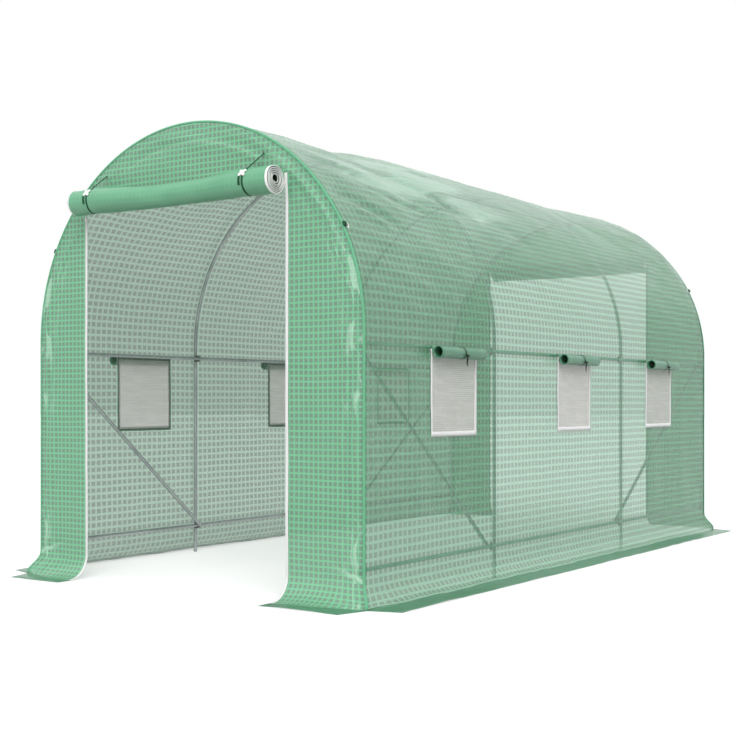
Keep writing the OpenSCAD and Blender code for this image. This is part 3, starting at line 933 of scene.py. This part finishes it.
OUTER_TURN = 2 * math.pi * roll_r + DOOR_TAIL
door_film = rolled_film("door_film", (0.135, 0.42, 0.235), END_PITCH[0], OUTER_TURN)
# the door's inside face is painted nearly black, as painted shade inside the roll
door_inside_painted_shade = rolled_film("door_film_inside_painted_shade", (0.012, 0.032, 0.019), END_PITCH[0], 0.0)
for end in TOWARDS:
    turns = np.arange(0, 2 * math.pi * DOOR_TURNS, math.radians(10))
    stops = [-roll_half + EDGE_BANDS[0], *STRAP_PLACES, roll_half - EDGE_BANDS[1]]
    xs = roll_x + np.array([-roll_half, *spread(stops, 0.022), roll_half])
    x, turn = grid_of(xs, turns)
    roll = door_roll_points(end, x, turn)
    # the edges of the turns don't line up quite
    shift = noise_at(turns * 0.55, 3.5, END_SEEDS[end])
    for column, reach in EDGE_SHIFTS:
        roll[column, :, 0] += reach * shift
    # the panel comes down to the back of the roll from where it is sewn to the wall
    sewn_y = TOWARDS[end] * (-front_y + 0.001)
    grid = hung(np.array([(x, sewn_y, door_top + DOOR_TAIL) for x in xs]), roll)
    run = np.append(0, np.linalg.norm(np.diff(grid[len(xs) // 2], axis=0), axis=1).cumsum())
    places = np.stack(grid_of(xs - xs[0], run), -1)
    way = TOWARDS[end]
    door = make_sheet(f"door_sheet_{end}", [(grid[::way], places[::way], None)],
                      (door_film, door_inside_painted_shade), EDGE_THICK)
    # the folded binding makes the two edges thicker than the film
    bound = door.vertex_groups.new(name="bound")
    near, far = xs[0] + BOUND_W, xs[-1] - BOUND_W
    bound.add([v.index for v in door.data.vertices if not near < v.co.x < far], 1.0, "REPLACE")
    door.modifiers["thickness"].vertex_group = "bound"
    door.modifiers["thickness"].thickness_vertex_group = DOOR_FILM / EDGE_THICK
    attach(door, "root")
    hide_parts(f"door_roll_{end}")

# ---------------------------------------------------------------------------------------------
# Door straps: two narrow dark green webbing straps hold up each rolled door. Each is sewn to the
# end wall above the roll, comes down over its front and round behind, and shuts in a white buckle.

strap_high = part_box("door_straps_front")[1].z
STRAP_W = 0.010
STRAP_T = 0.0016
STRAP_SLANT = 0.025
STRAP_TAIL = 0.017
TANGENT = math.radians(231)
BUCKLE_TURN = math.radians(215)
BUCKLE_R = (0.010, 0.0135)
BUCKLE_T = 0.0052
BUCKLE_ASIDE = 0.004
ROOT_OUT = 0.0022
ROOT_UPS = (0.010, -0.006)
# its closed outline from the middle behind to the hollow in front, as shares of its reach and thickness
BUCKLE_RINGS = [(0, 0), (0.93, 0), (1, 0.15), (1, 0.75), (0.93, 1), (0.55, 1), (0.4, 0.8), (0, 0.8)]


def strip(path, width, across, cup=0.0006):
    """A grid for a narrow band along a path. across is the way of its width, and it is slightly cupped."""
    path = np.asarray(path, float)
    across = np.asarray(across, float) * np.ones((len(path), 1))
    face = np.cross(across, np.gradient(path, axis=0))
    face /= np.linalg.norm(face, axis=1)[:, None] + 1e-9
    place = np.linspace(-0.5, 0.5, 5)[None, :, None]
    width = (np.ones(len(path)) * width)[:, None, None]
    return path[:, None] + across[:, None] * place * width + face[:, None] * cup * (1 - 4 * place ** 2)


def buckle(end, x):
    """A flat four-lobed buckle, bent a little to lie on the roll: a closed grid of rings."""
    middle = door_roll_points(end, np.array([x]), np.array([BUCKLE_TURN]), DOOR_FILM + STRAP_T)[0]
    up = np.array([0, -TOWARDS[end] * math.sin(BUCKLE_TURN), math.cos(BUCKLE_TURN)]) * -1
    out = np.array([0, -TOWARDS[end] * math.cos(BUCKLE_TURN), -math.sin(BUCKLE_TURN)])
    turn = np.linspace(0, 2 * math.pi, 65)
    reach = BUCKLE_R[0] + BUCKLE_R[1] * np.abs(np.sin(2 * turn)) ** 1.3
    rings = []
    for share, rise in BUCKLE_RINGS:
        a, b = share * reach * np.cos(turn), share * reach * np.sin(turn)
        height = rise * BUCKLE_T - b ** 2 / (2.4 * roll_r)
        rings.append(middle + a[:, None] * np.array([1, 0, 0]) + b[:, None] * up + height[:, None] * out)
    return np.array(rings)


strap_cloth = woven_tape("strap_webbing", (0.008, 0.065, 0.03), (STRAP_W * 0.2, STRAP_W * 0.8), 0.0011)
for end, sign in TOWARDS.items():
    loops, forms = [], []
    for place in STRAP_PLACES:
        x = roll_x + place
        angles = np.linspace(TANGENT, math.radians(8), 34)
        loop = door_roll_points(end, np.full(len(angles), x), angles, DOOR_FILM)
        root_y = sign * (-front_y + ROOT_OUT)
        root = np.array([(x + STRAP_SLANT, root_y, strap_high + up) for up in ROOT_UPS])
        fall = root[1] + (loop[0] - root[1]) * np.linspace(0, 1, 9)[1:-1, None]
        loops.append(strip(np.concatenate([root, fall, loop]), STRAP_W, (1, 0, 0)))
        angles = np.linspace(BUCKLE_TURN, BUCKLE_TURN - math.radians(54), 12)
        free = door_roll_points(end, np.full(12, x - STRAP_TAIL), angles, DOOR_FILM + 0.0012)
        loops.append(strip(free, STRAP_W, (1, 0, 0)))
        forms.append(buckle(end, x - BUCKLE_ASIDE))
    straps = make_sheet(f"door_webbing_{end}", loops, (strap_cloth,), STRAP_T)
    buckles = make_sheet(f"door_buckles_{end}", forms, (white_plastic,), 0)
    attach(straps, "root")
    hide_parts(f"door_straps_{end}")
    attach(buckles, "root")
    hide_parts("strap_buckles")

# ---------------------------------------------------------------------------------------------
# Windows: a pane of fine grey insect net closes each opening in the side walls. White woven tape
# binds its four edges and laps over the film, sewn down with a row of stitches near each edge.

NET_LAP = 0.006
TAPE_SIDE = 0.020
TAPE_FOOT = 0.023
TAPE_LIFT = 0.0026
TAPE_T = 0.001
NET_LIFT = 0.0012
WANDER = 0.0016


def insect_net():
    new_material("insect_net")
    uv = put("UVMap", {"uv_map": "cloth"})
    drift = cloth_noise(uv, 12.0, Detail=1.0)
    way = put("SeparateXYZ", Vector=moved_by(drift, 0.003, uv))
    yarn = most(tape_line(way[0], 0.0018, 0.5, 0.1), tape_line(way[1], 0.0018, 0.5, 0.1))
    heavy = most(tape_line(way[0], 0.0115, 0.12, 0.05), tape_line(way[1], 0.0093, 0.16, 0.06))
    streaks = streaky(uv, (9.0, 60.0), 4.0)
    shade = tint(between(streaks, 0.35, 0.7), (0.70, 0.69, 0.665), (0.78, 0.77, 0.745))
    shade = tint(heavy * 0.6, shade, (0.90, 0.905, 0.89))
    hides = most(between(yarn, 0.0, 1.0, 0.46, 0.78), heavy * 0.88)
    cloth = skin(shade, 0.62, yarn, 0.5, 0.0006)
    glow = put("BsdfTranslucent", Color=shade)
    body = put("MixShader", i0=0.35, i1=cloth, i2=glow)
    clear = put("BsdfTransparent", Color=(1, 1, 1))
    return finished(put("MixShader", i0=hides, i1=clear, i2=body))


def wall_patch(side, y0, y1, z0, z1, lift, upright=False, step=0.016):
    """A grid on a side wall's face. Its rows run along the tunnel, or up the wall if it is upright."""
    y, z = grid_of(spread([y0, y1], step), spread([z0, z1], step))
    grid = cover_surface(y, side * (arch_run + wall_top - z), lift)
    return np.swapaxes(grid, 0, 1) if upright else grid


net = insect_net()
border_cloth = woven_tape("window_tape", (0.955, 0.96, 0.955), (0.0035,), 0.0008, 0.08)
for side_name, side in SIDES.items():
    for number, (low, high) in enumerate(window_boxes[side_name], 1):
        foot, head = low.z, high.z
        across = (side, low.y + TAPE_T, high.y - TAPE_T)
        tapes = [wall_patch(side, low.y, low.y + TAPE_SIDE, foot, head, TAPE_LIFT, True),
                 wall_patch(side, high.y - TAPE_SIDE, high.y, foot, head, TAPE_LIFT, True),
                 wall_patch(*across, foot - TAPE_T, foot + TAPE_FOOT, TAPE_LIFT + TAPE_T),
                 wall_patch(*across, head - TAPE_SIDE, head, TAPE_LIFT + TAPE_T)]
        # hand-sewn tape is never quite straight
        for grid in tapes:
            wander = ripple(grid[..., 1], grid[..., 2], 0.0, 0.07, 0.07, 61.5 + number + 10 * side)
            grid[..., 1] += WANDER * wander
            grid[..., 2] += WANDER * np.roll(wander, 1, 0)
        tape = make_sheet(f"window_tape_{side_name}_{number}", tapes, (border_cloth,), TAPE_T)
        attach(tape, "root")
        net_grid = wall_patch(side, low.y + NET_LAP, high.y - NET_LAP, foot + NET_LAP, head - NET_LAP,
                              NET_LIFT)
        pane = make_sheet(f"window_net_{side_name}_{number}", [net_grid], (net,), 0.0004)
        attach(pane, "root")
        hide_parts(f"window_{side_name}_{number}")

# ---------------------------------------------------------------------------------------------
# Window flaps: each window's film flap is sewn to the wall above it and rolled up, just over two turns.
# A black tie goes round the middle of the roll and is tied in a bow with two hanging ends.

FLAP_TURNS = 2.3
FLAP_CORE = 0.0236
FLAP_FILM = 0.0014
FLAP_TAIL = 0.030
FLAP_SHIFT = 0.0035
ROLLED_WAVES = 0.04
TIE_PINCH = 0.06
TIE_SLANT = 0.005
TIE_W = 0.0055
TIE_T = 0.0012
KNOT_TURN = math.radians(160)
TIE_DROP = 0.046
KNOT_R = 0.0048
KNOT_OUT = 0.003
KNOT_W = 0.0072
KNOT_WRAPS = ((0.35, 1.0), (-0.45, 0.88))
BOW_REACH = 0.0125


def flap_points(side, low, high, y, turn, lift=0.0):
    """Points of a rolled flap, turning from its back on down, under and up its front."""
    left = np.clip(1 - turn / (2 * math.pi * FLAP_TURNS), 0, 1)
    full = (high.z - low.z) / 2
    wave = noise_at(y * 7 + 70.0 + 7 * side, np.cos(turn) * 0.9, np.sin(turn) * 0.9)
    tied = TIE_PINCH * np.exp(-((y - (low.y + high.y) / 2) / 0.012) ** 2)
    r = (FLAP_CORE + (full - FLAP_FILM / 2 - FLAP_CORE) * left) * (1 - tied + ROLLED_WAVES * wave) + lift
    x = (low.x + high.x) / 2 * np.ones(y.shape) - side * r * np.cos(turn)
    return np.stack([x, y, (low.z + high.z) / 2 - r * np.sin(turn)], -1)


def tie_strips(side, low, high):
    """A tie: once round the roll, then a knot, two bow loops and two hanging ends."""
    middle = (low.y + high.y) / 2
    ring = np.linspace(KNOT_TURN, KNOT_TURN + 2 * math.pi, 37)
    # it lies on the outer turn all round
    full = (high.z - low.z) / 2 + TIE_T / 2 + 0.0004
    band = np.stack([(low.x + high.x) / 2 - side * full * np.cos(ring),
                     middle + TIE_SLANT * np.cos(ring - KNOT_TURN),
                     (low.z + high.z) / 2 - full * np.sin(ring)], -1)
    strips = [strip(band, TIE_W, (0, 1, 0), 0.0003)]
    knot = np.array([band[0][0] + side * KNOT_OUT, middle + TIE_SLANT, band[0][2]])
    t = np.linspace(0, 2 * math.pi, 21)
    for tilt, size in KNOT_WRAPS:
        wrap = np.stack([side * np.cos(t) * 0.7, np.sin(t), tilt * np.sin(t)], -1)
        strips.append(strip(knot + KNOT_R * size * wrap, KNOT_W, (0, -tilt * 0.4, 1), 0.0006))
    t = np.linspace(0, math.pi, 15)
    drop = np.linspace(0, 1, 12)
    for way in (-1, 1):
        ear = np.stack([side * (0.002 + 0.0035 * np.sin(t)), way * BOW_REACH * np.sin(t) ** 0.8,
                        0.0042 * np.sin(2 * t) * -way - 0.004 * np.sin(t)], -1)
        strips.append(strip(knot + ear, TIE_W * 0.8, (side * 0.97, 0, 0.25), 0.0004))
        loose = np.stack([side * (0.002 + 0.0015 * np.sin(4 * drop + way)),
                          way * (0.0015 + 0.004 * drop) + 0.001 * np.sin(6 * drop),
                          -(TIE_DROP + 0.006 * way) * drop], -1)
        strips.append(strip(knot + loose, TIE_W * 0.85, (side * 0.25, 0.97, 0), 0.0004))
    return strips


flap_film = rolled_film("flap_film", (0.072, 0.25, 0.14), COVER_PITCH[1])
ties = []
for side_name, side in SIDES.items():
    for number in (1, 2, 3):
        low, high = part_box(f"window_roll_{side_name}_{number}")
        turns = np.arange(0, 2 * math.pi * FLAP_TURNS, math.radians(12))
        ys = spread([low.y, (low.y + high.y) / 2, high.y], 0.017)
        y, turn = grid_of(ys, turns)
        roll = flap_points(side, low, high, y, turn)
        shift = noise_at(turns * 0.6, number, side)
        for column in (0, -1):
            roll[column, :, 1] += FLAP_SHIFT * shift
        sewn = cover_surface(ys, np.full(len(ys), side * (arch_run + wall_top - high.z - 0.004)), 0.0012)
        flap = make_sheet(f"window_flap_{side_name}_{number}", [hung(sewn, roll)], (flap_film,),
                          FLAP_FILM)
        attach(flap, "root")
        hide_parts(f"window_roll_{side_name}_{number}")
        run = np.linalg.norm(np.diff(roll[len(ys) // 2], axis=0), axis=1).sum() + FLAP_TAIL
        ties += tie_strips(side, low, high)
tie_cloth = woven_tape("tie_tape", (0.012, 0.015, 0.013), (), 0.0008)
tie_piece = make_sheet("flap_ties", ties, (tie_cloth,), TIE_T)
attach(tie_piece, "root")
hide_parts("window_ties")

# ---------------------------------------------------------------------------------------------
# Guy rings: a white moulded D ring on each shoulder, held by a short fold of dark green webbing
# that is caught in the end seam. Guy lines are tied to them in windy places.

ring_low, ring_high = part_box("guy_rings")
RING_Z = (ring_low.z + ring_high.z) / 2
TAB_W = 0.021
finish_node("guy_rings", white_plastic)
ring_turn = math.acos((RING_Z - wall_top) / half_w)
# back from the end face and out from the roof, from the seam over the bar and back under it
TAB_PATH = [(-0.001, 0.001), (0.001, 0.006), (0.005, 0.011), (0.010, 0.0118), (0.015, 0.0100),
            (0.0200, 0.0072), (0.0235, 0.0052), (0.0242, 0.0028), (0.0215, 0.0012), (0.0140, 0.0016),
            (0.0020, 0.0020)]
TAB_WIDTHS = TAB_W * np.array([1.1, 1.0, 0.8, 0.75, 0.85, 1, 1, 1, 1, 1, 1.1])
tabs = []
for sign in TOWARDS.values():
    for side in SIDES.values():
        outward = np.array([side * math.sin(ring_turn), 0, math.cos(ring_turn)])
        around = np.array([math.cos(ring_turn), 0, -side * math.sin(ring_turn)])
        origin = half_w * outward + np.array([0, sign * -front_y, wall_top])
        path = [origin + np.array([0, -sign * back, 0]) + out * outward for back, out in TAB_PATH]
        tabs.append(strip(path, TAB_WIDTHS, around))
tab_piece = make_sheet("guy_tabs", tabs, (strap_cloth,), 0.0014)
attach(tab_piece, "root")

# ---------------------------------------------------------------------------------------------
# Studio: a pale floor that only shows soft shadows, a white surround, soft lamps and the camera.


def seen_or_shines_through():
    """1 where the camera sees the studio, straight or in a shine or through clear film."""
    path = put("LightPath")
    return most(path["Is Camera Ray"], most(path["Is Glossy Ray"], path["Is Transmission Ray"]))


def studio_floor():
    new_material("studio_floor")
    plain = put("BsdfDiffuse", Color=(0.45, 0.45, 0.45))
    faint = put("BsdfDiffuse", Color=(0.50, 0.50, 0.50))
    lift = put("Emission", Color=(1, 1, 1), Strength=0.54)
    shown = put("AddShader", i0=faint, i1=lift)
    return finished(put("MixShader", i0=seen_or_shines_through(), i1=plain, i2=shown))


bpy.ops.mesh.primitive_plane_add(size=120)
floor = bpy.context.object
floor.name = "studio_floor"
floor.data.materials.append(studio_floor())
floor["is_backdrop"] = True

world = bpy.data.worlds.new("studio")
bpy.context.scene.world = world
world.use_nodes = True
world.node_tree.nodes.clear()
trees.append(world.node_tree)
strength = seen_or_shines_through() * 0.28 + 0.72
put("OutputWorld", Surface=put("Background", Color=(1, 1, 1), Strength=strength))


def lamp(name, heading, height, strength, spread_angle):
    """A soft far lamp. Heading is in degrees clockwise from the front door, seen from above."""
    light = bpy.data.lights.new(name, "SUN")
    light.energy = strength
    light.angle = math.radians(spread_angle)
    thing = bpy.data.objects.new(name, light)
    bpy.context.scene.collection.objects.link(thing)
    thing.rotation_euler = (math.radians(90 - height), 0, math.radians(-heading))


lamp("key_lamp", -37, 40, 2.35, 40)
lamp("front_lamp", 20, 18, 0.30, 14)
lamp("back_lamp", 172, 38, 0.22, 60)

camera_data = bpy.data.cameras.new("camera")
camera_data.lens = 63.1
camera_data.sensor_width = 36
camera_data.shift_y = 0.0447
camera = bpy.data.objects.new("camera", camera_data)
bpy.context.scene.collection.objects.link(camera)
camera.location = (4.079, front_y - 4.463, 0.875)
camera.rotation_euler = (math.radians(90), 0, math.radians(34.44))
bpy.context.scene.camera = camera
bpy.context.scene.view_settings.view_transform = "Standard"

low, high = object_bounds()
